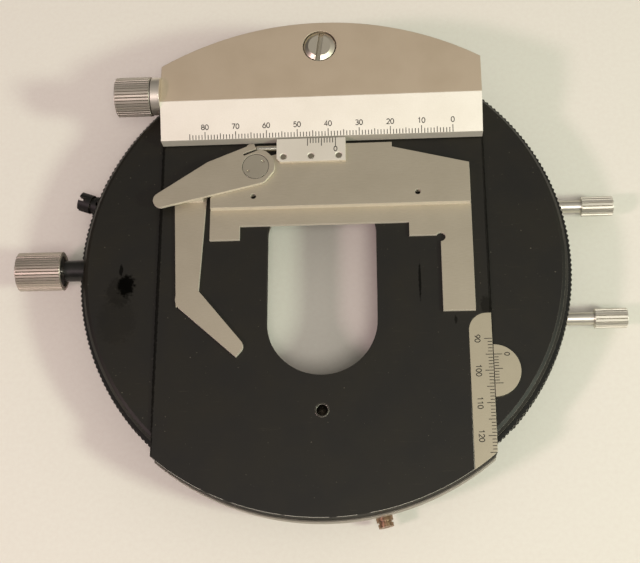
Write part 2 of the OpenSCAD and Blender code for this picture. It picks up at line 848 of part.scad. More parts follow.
module y_shaft() {
  start = knob_cap - yknob_x - yknob_len;
  shoulder = gear_x - gear_w / 2 - contact_gap;
  color([0.6, 0.6, 0.58]) {
    along_x(start, yknob_y, yknob_z) cylinder(r = yshaft_r, h = shoulder - start);
    along_x(start, yknob_y, yknob_z) cylinder(r = spigot_r, h = gear_x + gear_w / 2 - start);
  }
}

// Straight-sided pinion teeth, a little slimmer than the rack's spaces
module y_pinion() {
  foot = 0.95 * pinion_root;
  half = 360 / pinion_teeth / 4 * 0.72;
  color([0.66, 0.62, 0.5]) along_x(gear_x - gear_w / 2, yknob_y, yknob_z) linear_extrude(gear_w)
    difference() {
      union() {
        circle(pinion_root);
        for (i = [0 : pinion_teeth - 1]) rotate(-90 + i * 360 / pinion_teeth) polygon([
          polar(foot, -half * 1.15), polar(pitch_r, -half), polar(pinion_out, -half * 0.42),
          polar(pinion_out, half * 0.42), polar(pitch_r, half), polar(foot, half * 1.15)
        ]);
      }
      circle(spigot_r + press_gap);
    }
}

module y_knob() {
  color([0.8, 0.79, 0.76]) difference() {
    along_x(-yknob_x - yknob_len, yknob_y, yknob_z)
      knurled(yknob_r, yknob_len, knob_teeth, knurl_d, knurl_step);
    along_x(-yknob_x - core_t, yknob_y, yknob_z) cylinder(r = yknob_r - core_wall, h = core_t + cut);
    along_x(knob_cap - yknob_x - yknob_len - lid_gap, yknob_y, yknob_z)
      cylinder(r = yshaft_r + press_gap, h = yknob_len);
  }
}

module y_knob_core() {
  color([0.07, 0.07, 0.07]) along_x(-yknob_x - core_t, yknob_y, yknob_z)
    tube(yknob_r - core_wall - press_gap, yshaft_r + press_gap, core_t - ybush_gap);
}

// Carriage with side wings that run in the slideway
module y_carriage() {
  color([0.74, 0.73, 0.7]) difference() {
    translate([0, 0, carr_bot]) linear_extrude(carr_t) difference() {
      union() {
        intersection() {
          translate([-plate_w / 2, -2 * disc_r]) square([plate_w, 2 * disc_r + carr_rear]);
          translate([0, plate_front_y]) circle(plate_front_r + carr_lip, $fn = 200);
        }
        translate([-wing_half, carr_front]) square([2 * wing_half, carr_rear - carr_front]);
      }
      stadium(slot_w / 2 + carr_frame, slot_front - carr_frame, slot_rear + carr_frame);
    }
    translate([-wing_half - cut, rack_start - rack_bay, rack_bot])
      cube([carr_wing + cut - way_gap, rack_len + 2 * rack_bay, carr_t + cut]);
    plate_screw_places() translate([0, 0, carr_bot - cut]) {
      cylinder(r = plate_screw_r + press_gap, h = carr_t + 2 * cut, $fn = 32);
      cylinder(r = plate_head_r + side_gap, h = plate_head_t + lid_gap + cut, $fn = 32);
    }
  }
}

module plate_screw_places() {
  for (x = [-1, 1]) for (y = [-1, 0, 1])
    translate([x * plate_screw_x, y * plate_screw_pitch, 0]) children();
}

// Flat black slide plate that carries the cross movement
module slide_plate() {
  color([0.12, 0.12, 0.11]) difference() {
    translate([0, 0, plate_bot]) linear_extrude(plate_t) plate_outline();
    translate([0, 0, plate_bot - cut]) linear_extrude(plate_t + 2 * cut)
      stadium(slot_w / 2, slot_front, slot_rear);
    translate([0, 0, plate_bot - cut]) linear_extrude(plate_t - slot_lip + cut)
      stadium(slot_w / 2 + carr_frame, slot_front - carr_frame, slot_rear + carr_frame);
    translate([0, acc_y, plate_bot - cut])
      cylinder(r = acc_r + acc_wall + press_gap, h = plate_t + 2 * cut);
    translate([0, 0, stage_h - strip_t]) linear_extrude(strip_t + cut) strip_outline(strip_gap);
    translate([0, clamp_y, plate_bot - cut]) cylinder(r = clamp_shank_r + press_gap, h = plate_t + 2 * cut);
    plate_screw_places() translate([0, 0, plate_bot - cut])
      cylinder(r = plate_screw_r + press_gap, h = plate_t / 2 + cut, $fn = 32);
  }
}

// Bright threaded bush for a slide clip or another accessory
module accessory_bush() {
  color([0.7, 0.68, 0.62]) translate([0, acc_y, plate_bot]) tube(acc_r + acc_wall, acc_r, plate_t);
}

module plate_screws() {
  color([0.55, 0.55, 0.53]) plate_screw_places() {
    translate([0, 0, carr_bot + lid_gap]) cylinder(r = plate_head_r, h = plate_head_t, $fn = 32);
    translate([0, 0, carr_bot + plate_head_t])
      cylinder(r = plate_screw_r, h = carr_t + plate_t / 2 - plate_head_t - lid_gap, $fn = 32);
  }
}

// Toothed rack let into the left wing of the carriage
module y_rack() {
  half = gear_pitch / 4 * 0.8;
  foot_z = rack_root - run_gap;
  color([0.66, 0.62, 0.5]) {
    translate([gear_x - gear_w / 2, rack_start, rack_bot])
      cube([gear_w, rack_len, rack_root - rack_bot]);
    along_x(gear_x - gear_w / 2, 0, 0) linear_extrude(gear_w)
      for (i = [0 : rack_teeth - 1]) translate([rack_tooth_y(i), 0]) polygon([
        [-half * 1.75, foot_z], [-half * 0.45, rack_top], [half * 0.45, rack_top], [half * 1.75, foot_z]
      ]);
  }
}

// A tooth space of the rack lies under the pinion's lowest tooth
function rack_tooth_y(i) = yknob_y + (i - round(rack_teeth * 0.75) + 0.5) * gear_pitch;

module y_scale() {
  color([0.8, 0.79, 0.74]) translate([0, 0, stage_h - strip_t]) linear_extrude(strip_t) strip_outline(0);
}

// Hollow housing of the X drive, open below, with a curved back
module x_housing() {
  inner = house_front + scale_t + run_gap;
  color([0.68, 0.63, 0.53]) difference() {
    intersection() {
      translate([0, 0, house_z]) linear_extrude(house_h) intersection() {
        translate([-house_half, house_front]) square([2 * house_half, house_rear_r]);
        translate([0, house_rear_y]) circle(house_rear_r, $fn = 200);
      }
      along_x(-house_half, 0, house_z) linear_extrude(2 * house_half) polygon([
        [inner, 0], [inner, wedge_under - run_gap + scale_slope(scale_t)],
        [scale_rear + run_gap, wedge_rear_h - run_gap], [scale_rear + run_gap, house_h],
        [house_rear + cut, house_h], [house_rear + cut, 0]
      ]);
    }
    translate([-cavity_half, house_front, house_z - cut])
      cube([2 * cavity_half, house_cavity, cavity_h + cut]);
    along_x(-house_half - cut, xknob_y, xknob_z)
      cylinder(r = lead_r + run_gap, h = 2 * house_half + cut - rod_skin);
    along_x(-house_half + rod_skin, guide_y, house_z + guide_h)
      cylinder(r = guide_r + press_gap, h = 2 * (house_half - rod_skin));
    translate([0, clamp_y, house_z - cut]) cylinder(r = clamp_shank_r + press_gap, h = house_h + 2 * cut);
    translate([0, clamp_y, house_z + house_h - clamp_sink])
      cylinder(r = clamp_r + clamp_moat, h = clamp_sink + cut);
  }
}

// Rise of the scale bar's underside at a distance behind its front face
function scale_slope(d) = d * (wedge_rear_h - wedge_under) / scale_depth;

// Bent bar with the sloping scale face
module x_scale_bar() {
  color([0.86, 0.85, 0.8]) along_x(-house_half, 0, house_z) linear_extrude(2 * house_half) polygon([
    [house_front, tongue_gap], [house_front, scale_front_h], [scale_rear, house_h],
    [scale_rear, wedge_rear_h], [house_front + scale_t, wedge_under + scale_slope(scale_t)],
    [house_front + scale_t, tongue_gap]
  ]);
}

module x_collar() {
  color([0.76, 0.75, 0.71]) along_x(-house_half - xcollar_len, xknob_y, xknob_z) {
    tube(collar_r, lead_r + run_gap, xcollar_len);
  }
}

module x_guide_rod() {
  end = house_half - rod_skin - contact_gap;
  color([0.7, 0.7, 0.68]) along_x(-end, guide_y, house_z + guide_h) cylinder(r = guide_r, h = 2 * end);
}

// Large slotted screw that holds the housing on the slide plate
module housing_clamp_screw() {
  head_z = house_z + house_h - clamp_sink;
  color([0.82, 0.8, 0.76]) translate([0, clamp_y, 0]) difference() {
    union() {
      translate([0, 0, plate_bot + shim_gap]) cylinder(r = clamp_shank_r, h = head_z - plate_bot);
      translate([0, 0, head_z]) cylinder(r = clamp_r, h = clamp_rim);
      translate([0, 0, head_z + clamp_rim])
        cylinder(r1 = clamp_r, r2 = clamp_r - clamp_cone_w, h = clamp_cone_h);
    }
    translate([0, 0, head_z + clamp_web]) rotate([0, 0, -clamp_lean])
      translate([-clamp_slot / 2, -clamp_r - cut, 0])
        cube([clamp_slot, 2 * clamp_r + 2 * cut, 2 * clamp_sink]);
  }
}

// Lead screw, drawn over its thread's crests, with the end inside the knob
module x_lead_screw() {
  start = house_half + xcollar_len + xknob_gap + xknob_len - knob_cap;
  color([0.7, 0.69, 0.66]) along_x(-start, xknob_y, xknob_z)
    cylinder(r = lead_r, h = start + house_half - rod_skin - side_gap);
}

module x_knob() {
  start = house_half + xcollar_len + xknob_gap;
  color([0.82, 0.81, 0.78]) difference() {
    along_x(-start - xknob_len, xknob_y, xknob_z)
      knurled(xknob_r, xknob_len, knob_teeth, knurl_d, knurl_step);
    along_x(knob_cap - start - xknob_len - lid_gap, xknob_y, xknob_z)
      cylinder(r = lead_r + press_gap, h = xknob_len);
  }
}

// Half nut that rides on the lead screw and the guide rod
module x_nut_carriage() {
  back = tongue_rear + 1.2;
  color([0.72, 0.58, 0.3]) difference() {
    along_x(-nut_w / 2, 0, house_z) linear_extrude(nut_w) polygon([
      [nut_front, upp_z - house_z], [nut_front, scale_front_h - 0.5], [xknob_y - 5.8, xknob_h + safe_gap],
      [xknob_y - 3.8, nut_top], [back, nut_top], [back, upp_z - house_z]
    ]);
    along_x(-nut_w, xknob_y, xknob_z) cylinder(r = lead_r + run_gap, h = 2 * nut_w);
    along_x(-nut_w, guide_y, house_z + guide_h) cylinder(r = guide_r + run_gap, h = 2 * nut_w);
    holder_screw_places() cylinder(r = fix_screw_r + press_gap, h = fix_screw_len + side_gap, $fn = 32);
  }
}

module holder_screw_places() {
  spots = [
    [hold_left + fix_left, upp_front + fix_back], [vern_x, upp_front + fix_back],
    [hold_right - fix_right, upp_front + fix_back],
    [fix_in - tongue_half, xknob_y - fix_in], [tongue_right - fix_in / 2, xknob_y - fix_in]
  ];
  for (p = spots) translate([p[0], p[1], low_z]) children();
}

// Thin angle that lies on the stage: stop edges, fixed leg and rear tongue
module holder_lower_plate() {
  back = pivot_y - 1;
  color([0.66, 0.62, 0.54]) difference() {
    translate([0, 0, low_z]) linear_extrude(low_t) difference() {
      union() {
        translate([hold_left, low_front]) square([hold_right - hold_left, back - low_front]);
        translate([hold_left, stop_y]) square([pad_w, back - stop_y]);
        translate([pad_right, stop_y]) square([hold_right - pad_right, back - stop_y]);
        translate([hold_right - leg_w, leg_front]) square([leg_w, back - leg_front]);
        translate([-tongue_half, back - cut])
          square([tongue_half + tongue_right, tongue_rear - back + cut]);
      }
      translate([hold_right - leg_w, stop_y - relief_r / 2]) circle(relief_r);
      pin_holes();
    }
    translate([-tongue_half - cut, house_front - side_gap, low_z + tongue_t])
      cube([2 * (tongue_half + cut), scale_t + 2 * side_gap, low_t]);
    holder_screw_places() translate([0, 0, -cut])
      cylinder(r = fix_screw_r + press_gap, h = low_t + 2 * cut, $fn = 32);
  }
}

// Two small holes through both plates, for a slide clip's pins
module pin_holes() {
  for (x = [pivot_x - pin_left_dx, hold_right - pin_right_dx])
    translate([x, upp_front + pin_back]) circle(pin_hole_r, $fn = 32);
}

// Thick plate on the angle, with the pivot, the pin holes and the plunger channel
module holder_upper_plate() {
  color([0.66, 0.62, 0.54]) difference() {
    translate([0, 0, upp_z]) linear_extrude(upp_t) difference() {
      union() {
        polygon([
          [hold_left + 0.3, upp_front], [hold_right - 0.2, upp_front], [hold_right - 0.2, upp_right_y],
          [upp_shoulder_x, upp_shoulder - 1.6], [upp_shoulder_x, upp_shoulder],
          [vern_left + vern_w, upp_shoulder], [vern_left + vern_w, upp_rear], [vern_left, upp_rear],
          [vern_left, pivot_y + 4.6], [pivot_x, pivot_y + 3], [hold_left + 0.3, upp_front + 3.5]
        ]);
        translate([pivot_x, pivot_y]) circle(boss_r - 0.6);
      }
      pin_holes();
    }
    translate([pivot_x, pivot_y, upp_z - cut]) cylinder(r = pivot_r + press_gap, h = upp_t + 2 * cut);
    along_x(vern_left - cut, plunger_y, plunger_z)
      cylinder(r = channel_half, h = spring_end - vern_left + cut + run_gap);
    translate([vern_left - cut, plunger_y - channel_half, plunger_z])
      cube([spring_end - vern_left + cut + run_gap, 2 * channel_half, upp_t]);
    holder_screw_places() cylinder(r = fix_screw_r + press_gap, h = fix_screw_len + side_gap, $fn = 32);
    rivet_places() translate([0, 0, -rivet_root - contact_gap])
      cylinder(r = rivet_r + press_gap, h = upp_t, $fn = 32);
  }
}

module holder_screws() {
  color([0.5, 0.49, 0.46]) holder_screw_places() cylinder(r = fix_screw_r, h = fix_screw_len, $fn = 32);
}

module rivet_places() {
  for (i = [-1 : 1]) translate([vern_x + i * rivet_step, rivet_y, vern_z]) children();
}

// Vernier plate level with the scale's front edge, with one clipped corner
module x_vernier() {
  color([0.84, 0.83, 0.79]) difference() {
    translate([0, 0, vern_z]) linear_extrude(vern_t) polygon([
      [vern_left + 1.2, vern_front], [vern_left + vern_w, vern_front],
      [vern_left + vern_w, vern_front + vern_d], [vern_left, vern_front + vern_d],
      [vern_left, vern_front + 1.2]
    ]);
    rivet_places() translate([0, 0, -cut])
      cylinder(r = rivet_r + press_gap, h = vern_t + 2 * cut, $fn = 32);
    rivet_places() translate([0, 0, vern_t - rivet_sink])
      cylinder(r1 = rivet_r, r2 = rivet_r + 2 * rivet_sink, h = 2 * rivet_sink, $fn = 32);
  }
}

module vernier_rivets() {
  color([0.76, 0.72, 0.62]) rivet_places() translate([0, 0, -rivet_root])
    cylinder(r = rivet_r, h = vern_t + rivet_root - rivet_sink / 2, $fn = 32);
}

// Shoulder screw with two spanner holes
module pivot_screw() {
  head_z = lever_z + lever_t - pivot_sink + run_gap;
  color([0.8, 0.78, 0.73]) translate([pivot_x, pivot_y, 0]) difference() {
    union() {
      translate([0, 0, upp_z]) cylinder(r = pivot_r, h = head_z - upp_z + run_gap);
      translate([0, 0, head_z]) cylinder(r = pivot_head_r, h = pivot_sink - run_gap - pivot_low);
    }
    for (s = [-1, 1]) rotate([0, 0, 34]) translate([s * pivot_head_r * 0.7, 0, head_z + shim_gap])
      cylinder(r = 0.5, h = cut, $fn = 32);
  }
}

// Thumb lever of the clip: boss, long arm, and a tab behind the slit
module clip_lever() {
  thumb = [thumb_x, thumb_y];
  pivot = [pivot_x, pivot_y];
  knee = [knee_x, knee_y];
  tab = [tab_x, tab_y - tab_drop];
  tab_back = tab + polar(tab_r, tab_lean + 90);
  corner = tab_back + polar(tab_long, tab_lean);
  color([0.68, 0.64, 0.56]) {
    difference() {
      translate([0, 0, lever_z]) linear_extrude(lever_t) difference() {
        union() {
          taper_link(pivot, boss_r, thumb, thumb_r);
          taper_link(knee, knee_r, thumb, thumb_r);
          taper_link(knee, knee_r, tab, tab_r);
          polygon([tab, tab_back, corner, corner + polar(tab_end, tab_lean - 90)]);
        }
        translate(pivot) rotate(boss_flat_a) translate([boss_flat, -2 * boss_r]) square(4 * boss_r);
        translate([pivot_x - slit_dx, pivot_y + slit_dy]) rotate(slit_a) square([boss_r + 2, slit_w]);
      }
      translate([pivot_x, pivot_y, lever_z - cut]) cylinder(r = pivot_r + run_gap, h = lever_t + 2 * cut);
      translate([pivot_x, pivot_y, lever_z + lever_t - pivot_sink])
        cylinder(r = pivot_head_r + side_gap, h = cut);
    }
    translate([tab_x, tab_y, upp_z + shim_gap])
      cylinder(r = tab_r, h = lever_z + lever_t / 4 - upp_z - shim_gap);
  }
}

// Bent finger that presses the glass slide against the leg, with its root under the lever
module clip_finger() {
  root_l = finger_x - finger_root_w / 2;
  bend_l = finger_x - finger_bend_w / 2;
  bend = [finger_x + finger_rake, bend_y];
  tip = [bend[0] + tip_dx, bend[1] - tip_dy];
  lean = atan2(-tip_dy, tip_dx) - acos((finger_bend_r - tip_r) / norm([tip_dx, tip_dy]));
  color([0.7, 0.66, 0.58]) {
    translate([0, 0, finger_z]) linear_extrude(low_t) {
      polygon([
        [root_l, finger_top], [root_l + finger_root_w, finger_top],
        [bend_l + finger_bend_w, bend_y + finger_in], [bend_l, bend_y - finger_heel]
      ]);
      taper_link(bend, finger_bend_r, tip, tip_r);
      polygon([
        tip, tip + polar(tip_r, lean), tip + polar(tip_r * diag, lean + 45), tip + polar(tip_r, lean + 90)
      ]);
    }
    translate([finger_x - post_w / 2, finger_top - post_d, finger_z])
      cube([post_w, post_d, lever_z - finger_z]);
  }
}

// Spring plunger that pushes the lever's tab
module clip_plunger() {
  color([0.72, 0.7, 0.64]) {
    along_x(plunger_tip + plunger_nose, plunger_y, plunger_z)
      cylinder(r = plunger_r, h = plunger_end - plunger_tip - plunger_nose);
    along_x(plunger_tip, plunger_y, plunger_z)
      cylinder(r1 = plunger_r - 0.4, r2 = plunger_r, h = plunger_nose);
  }
}

module clip_spring() {
  color([0.6, 0.6, 0.58]) along_x(plunger_end + press_gap, plunger_y, plunger_z)
    tube(plunger_r - contact_gap, plunger_r / 2, spring_end - plunger_end - 2 * press_gap);
}

base_ring();
centring_slide();
centring_ring();
ball_cage();
bearing_balls();
rear_centring_tip();
rear_centring_screw();
front_centring_tip();
front_centring_screw();
spring_plug();
counter_spring();
brake_screw();
brake_pin();
turntable();
grip_ring();
retaining_ring();
retaining_screws();
y_vernier();
y_bush();
y_shaft();
y_pinion();
y_knob();
y_knob_core();
y_carriage();
slide_plate();
accessory_bush();
plate_screws();
y_rack();
y_scale();
x_housing();
x_scale_bar();
x_collar();
x_guide_rod();
housing_clamp_screw();
x_lead_screw();
x_knob();
x_nut_carriage();
holder_lower_plate();
holder_upper_plate();
holder_screws();
x_vernier();
vernier_rivets();
pivot_screw();
clip_lever();
clip_finger();
clip_plunger();
clip_spring();
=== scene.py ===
"""Looks of the rotating microscope stage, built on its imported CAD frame."""

import math

import bmesh
import bpy
from mathutils import Matrix, Vector


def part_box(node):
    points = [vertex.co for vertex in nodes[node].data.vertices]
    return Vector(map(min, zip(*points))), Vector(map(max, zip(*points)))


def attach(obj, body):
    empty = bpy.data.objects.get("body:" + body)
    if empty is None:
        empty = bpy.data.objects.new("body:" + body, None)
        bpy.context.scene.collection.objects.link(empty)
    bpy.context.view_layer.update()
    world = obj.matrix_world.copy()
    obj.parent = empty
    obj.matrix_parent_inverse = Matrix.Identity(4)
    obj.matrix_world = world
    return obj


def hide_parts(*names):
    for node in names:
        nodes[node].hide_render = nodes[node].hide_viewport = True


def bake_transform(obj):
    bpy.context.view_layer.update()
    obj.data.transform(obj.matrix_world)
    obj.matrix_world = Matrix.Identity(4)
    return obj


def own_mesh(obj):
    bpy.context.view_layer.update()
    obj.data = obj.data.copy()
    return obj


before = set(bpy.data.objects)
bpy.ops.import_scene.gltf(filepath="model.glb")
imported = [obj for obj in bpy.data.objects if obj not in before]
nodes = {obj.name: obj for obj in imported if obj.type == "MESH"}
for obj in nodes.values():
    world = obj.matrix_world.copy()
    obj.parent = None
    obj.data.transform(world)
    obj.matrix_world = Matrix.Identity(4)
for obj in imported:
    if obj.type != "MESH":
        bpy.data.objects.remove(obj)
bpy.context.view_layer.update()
MM = 0.001


# Paper under the stage, the light of a plain room, and the camera, where the scales were seen from.
# The room is brighter overhead and to the right. A panel hangs above the front edge, with a small lamp at
# each side, one greenish and one pink, whose shadows lie beside the disc and in the light slot.
def linear(code):
    """A linear colour from an sRGB hex code."""
    parts = [int(code[i : i + 2], 16) / 255 for i in (0, 2, 4)]
    return tuple(v / 12.92 if v <= 0.04045 else ((v + 0.055) / 1.055) ** 2.4 for v in parts) + (1.0,)


def put(tree, kind, settings=None, out=0):
    """Adds a shader node, links the settings that are sockets, sets the others, and gives the output out."""
    made = tree.nodes.new("ShaderNode" + kind)
    for key, value in (settings or {}).items():
        if isinstance(key, str) and key not in made.inputs:
            setattr(made, key, value)
        elif isinstance(value, bpy.types.NodeSocket):
            tree.links.new(value, made.inputs[key])
        else:
            made.inputs[key].default_value = value
    return made.outputs[out]


def material(name, uniform=None):
    """A new material, its node tree and its principled shader with the uniform values set."""
    made = bpy.data.materials.new(name)
    made.use_nodes = True
    shader = made.node_tree.nodes["Principled BSDF"]
    for socket, value in (uniform or {}).items():
        shader.inputs[socket].default_value = value
    return made, made.node_tree, shader


def grain(tree, size, stretch=(1, 1, 1), detail=3.0):
    """Noise with lumps of the given size in mm, drawn out by the factors of stretch."""
    lump = tuple(MM * size * factor for factor in stretch)
    place = put(tree, "TexCoord", out="Object")
    spread = put(tree, "Mapping", {"vector_type": "TEXTURE", "Scale": lump, "Vector": place})
    return put(tree, "TexNoise", {"Scale": 1.0, "Detail": detail, "Vector": spread}, "Fac")


floor_size, fibre_size = 4.0, 1.4
paper, tree, shader = material("white_copy_paper", {"Roughness": 0.9})
fibre = put(tree, "MapRange", {"Value": grain(tree, fibre_size), "From Min": 0.3, "From Max": 0.7})
white = put(tree, "Mix", {"data_type": "RGBA", 0: fibre, 6: linear("e8e3da"), 7: linear("ebe7de")}, 2)
tree.links.new(white, shader.inputs["Base Color"])
bpy.ops.mesh.primitive_plane_add(size=floor_size)
floor = bpy.context.object
floor.name = "paper"
floor.data.materials.append(paper)

horizon_light, zenith_light, left_share, right_share = 0.17, 0.43, 0.2, 1.8
world = bpy.data.worlds.new("room")
world.use_nodes = True
tree = world.node_tree
sky = tree.nodes["Background"]
sky.inputs["Color"].default_value = linear("fff8ee")
toward = put(tree, "TexCoord", out="Generated")
height = put(tree, "SeparateXYZ", {0: toward}, "Z")
side = put(tree, "SeparateXYZ", {0: toward}, "X")
rise = {"From Min": 0.2, "From Max": 0.85, "To Min": horizon_light, "To Max": zenith_light}
overhead = put(tree, "MapRange", {"Value": height, **rise})
sweep = {"From Min": -1.0, "From Max": 1.0, "To Min": left_share, "To Max": right_share}
rightward = put(tree, "MapRange", {"Value": side, **sweep})
strength = put(tree, "Math", {"operation": "MULTIPLY", 0: overhead, 1: rightward})
tree.links.new(strength, sky.inputs["Strength"])
bpy.context.scene.world = world

for name, place, size, power, colour in (
    ("ceiling_panel", (0.15, -0.46, 1.10), 0.30, 4.1, "fff9f0"),
    ("right_lamp", (0.74, -0.32, 0.69), 0.14, 4.2, "eeffe6"),
    ("left_lamp", (-0.71, -0.40, 0.82), 0.14, 3.4, "ffdae2"),
):
    lamp = bpy.data.lights.new(name, "AREA")
    lamp.size, lamp.energy, lamp.color = size, power, linear(colour)[:3]
    lamp_object = bpy.data.objects.new(name, lamp)
    bpy.context.scene.collection.objects.link(lamp_object)
    lamp_object.location = place
    lamp_object.rotation_euler = (-Vector(place)).to_track_quat("-Z", "Y").to_euler()

lens = bpy.data.cameras.new("camera")
lens.sensor_fit, lens.sensor_width, lens.lens = "HORIZONTAL", 36.0, 66.636
lens.clip_start, lens.clip_end = 0.01, 20
camera = bpy.data.objects.new("camera", lens)
bpy.context.scene.collection.objects.link(camera)
camera_place = (0.024007, -0.127061, 0.374840)
camera_right, camera_up = (0.99751, -0.00127, -0.07049), (0.02403, 0.94609, 0.32301)
camera_back = (0.06628, -0.32390, 0.94377)
camera_turn = Matrix((camera_right, camera_up, camera_back)).transposed().to_4x4()
camera.matrix_world = Matrix.Translation(camera_place) @ camera_turn
bpy.context.scene.camera = camera
bpy.context.scene.view_settings.view_transform = "Standard"


# Base ring, turntable and slide plate: turned and milled aluminium, black anodised and rubbed satin by use.
# The plate slides across the turntable, which turns on balls over the base. The black is cloudy and dusty,
# worn bright along edges that hands reach, with painted highlight and glare at the front, deep black where
# old oil crept out, and painted shade along the slideway seams.
def edges(tree, radius):
    """The normal with edges rounded to the radius in mm, and a mask that is 1 on the sharpest edges."""
    soft = put(tree, "Bevel", {"samples": 6, "Radius": radius * MM})
    flat = put(tree, "NewGeometry", out="Normal")
    match = put(tree, "VectorMath", {"operation": "DOT_PRODUCT", 0: soft, 1: flat}, "Value")
    return soft, put(tree, "MapRange", {"Value": match, "From Min": 0.995, "From Max": 0.85})


def dress(made, *names):
    """Gives CAD nodes their material."""
    for name in names:
        nodes[name].data.materials.clear()
        nodes[name].data.materials.append(made)


def anodised(name, dark, pale, rub, edge):
    """Black on metal: cloudy, scuffed along X, dusty, worn by the share rub on its edges, with wear and a
    painted highlight on front edges and a painted glare on front right edges.
    """
    # Sizes of the patterns in mm. Real pits and dust are finer, and are drawn this coarse so that they show.
    cloud_size, scuff_size, dust_size, chafe_size, pit_size, pit_depth = 14.0, 1.1, 0.5, 2.2, 0.22, 0.006
    made, tree, shader = material(name)
    soft, rim = edges(tree, edge)
    cloud = put(tree, "MapRange", {"Value": grain(tree, cloud_size), "From Min": 0.35, "From Max": 0.68})
    along_x = grain(tree, scuff_size, (6, 0.35, 1))
    streak = put(tree, "MapRange", {"Value": along_x, "From Min": 0.66, "From Max": 0.78, "To Max": 0.22})
    scuff = put(tree, "Math", {"operation": "MULTIPLY", 0: streak, 1: cloud})
    specks = grain(tree, dust_size, detail=0.0)
    dust = put(tree, "MapRange", {"Value": specks, "From Min": 0.86, "From Max": 0.89, "To Max": 0.35})
    rough = grain(tree, chafe_size)
    chafed = put(tree, "MapRange", {"Value": rough, "From Min": 0.38, "From Max": 0.62, "To Max": rub})
    worn = put(tree, "Math", {"operation": "MULTIPLY", 0: rim, 1: chafed})
    layers = [(scuff, "5a5446"), (dust, "a39c8a"), (worn, "9a9382")]

    # Front edges get wear together with a painted highlight, front right edges a painted glare. Each place
    # has a direction from the axis, how far out in mm the lightening starts and is full, and the noise that
    # breaks it up.
    spot = put(tree, "TexCoord", out="Object")
    for way, start, full, noise, low, high, colour in (
        ((0, -1, 0), 54, 66, grain(tree, 5.0, detail=1.0), 0.36, 0.42, "f4efe2"),
        ((0.82, -0.57, 0), 60, 68, grain(tree, 1.2), 0.3, 0.5, "d0cabb"),
    ):
        lean = put(tree, "VectorMath", {"operation": "DOT_PRODUCT", 0: spot, 1: way}, "Value")
        near = put(tree, "MapRange", {"Value": lean, "From Min": start * MM, "From Max": full * MM})
        broken = put(tree, "MapRange", {"Value": noise, "From Min": low, "From Max": high})
        wear_and_painted_glare = put(tree, "Math", {"operation": "MULTIPLY", 0: near, 1: broken})
        layers.append((put(tree, "Math", {"operation": "MULTIPLY", 0: rim, 1: wear_and_painted_glare}), colour))

    tone = put(tree, "Mix", {"data_type": "RGBA", 0: cloud, 6: linear(dark), 7: linear(pale)}, 2)
    for share, colour in layers:
        tone = put(tree, "Mix", {"data_type": "RGBA", 0: share, 6: tone, 7: linear(colour)}, 2)
    tree.links.new(tone, shader.inputs["Base Color"])
    finish = put(tree, "MapRange", {"Value": cloud, "To Min": 0.54, "To Max": 0.46})
    tree.links.new(finish, shader.inputs["Roughness"])
    normal = put(tree, "NewGeometry", out="Normal")
    sheen = {"From Min": 0.1, "From Max": 0.4, "To Min": 0.06, "To Max": 0.4}
    shine = put(tree, "MapRange", {"Value": put(tree, "SeparateXYZ", {0: normal}, "Z"), **sheen})
    tree.links.new(shine, shader.inputs["Specular IOR Level"])
    pits = {"Strength": 1.0, "Distance": pit_depth * MM, "Height": grain(tree, pit_size), "Normal": soft}
    tree.links.new(put(tree, "Bump", pits), shader.inputs["Normal"])
    return made


def oil(made, smears):
    """Dark, dull patches on a material at places (x, y, half width, half length, share) in mm: old oil, and
    painted shade where the places follow seams.
    """
    tree = made.node_tree
    shader = tree.nodes["Principled BSDF"]
    base, shine = shader.inputs["Base Color"], shader.inputs["Specular IOR Level"]
    place = put(tree, "TexCoord", out="Object")
    for x, y, wide, long, share in smears:
        arm = put(tree, "VectorMath", {"operation": "SUBTRACT", 0: place, 1: (x * MM, y * MM, 0)})
        shrink = (1 / (wide * MM), 1 / (long * MM), 0)
        out = put(tree, "VectorMath", {"operation": "MULTIPLY", 0: arm, 1: shrink})
        far = put(tree, "VectorMath", {"operation": "LENGTH", 0: out}, "Value")
        ragged = put(tree, "Math", {"operation": "ADD", 0: far, 1: grain(tree, 0.9)})
        patch = put(tree, "MapRange", {"Value": ragged, "From Min": 1.55, "From Max": 1.25, "To Max": share})
        bare = base.links[0].from_socket
        darkened = put(tree, "Mix", {"data_type": "RGBA", 0: patch, 6: bare, 7: linear("020201")}, 2)
        tree.links.new(darkened, base)
        kept = put(tree, "MapRange", {"Value": patch, "To Min": 1.0, "To Max": 0.06})
        dulled = put(tree, "Math", {"operation": "MULTIPLY", 0: shine.links[0].from_socket, 1: kept})
        tree.links.new(dulled, shine)


black = anodised("black_anodised_aluminium_rubbed_satin", "0f0d07", "19160d", rub=0.2, edge=0.25)
seam_x, seam_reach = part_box("slide_plate")[1][0] / MM, 75.0
smear_by_the_y_knob = (
    (-62.4, -6.4, 3.0, 3.9, 0.95),
    (-64.2, -1.4, 0.7, 2.2, 0.8),
    (-64.5, -8.5, 4.4, 5.5, 0.3),
    (-64.9, -18.0, 6.5, 8.0, 0.15),
)
scratches_beside_the_leg = ((30.6, -7.5, 0.45, 6.4, 0.75), (41.2, -20.2, 0.5, 1.5, 0.6))
smear_above_the_scale = ((50.6, -16.0, 1.9, 3.2, 0.4),)
# Painted shade: dark lines along the seams where the slide plate meets the turntable.
shade_along_slideway_seams = ((-seam_x, 0.0, 0.7, seam_reach, 0.7), (seam_x, 0.0, 0.5, seam_reach, 0.5))
oil(black, smear_by_the_y_knob + scratches_beside_the_leg + smear_above_the_scale + shade_along_slideway_seams)
dress(black, "base_ring", "turntable", "slide_plate")


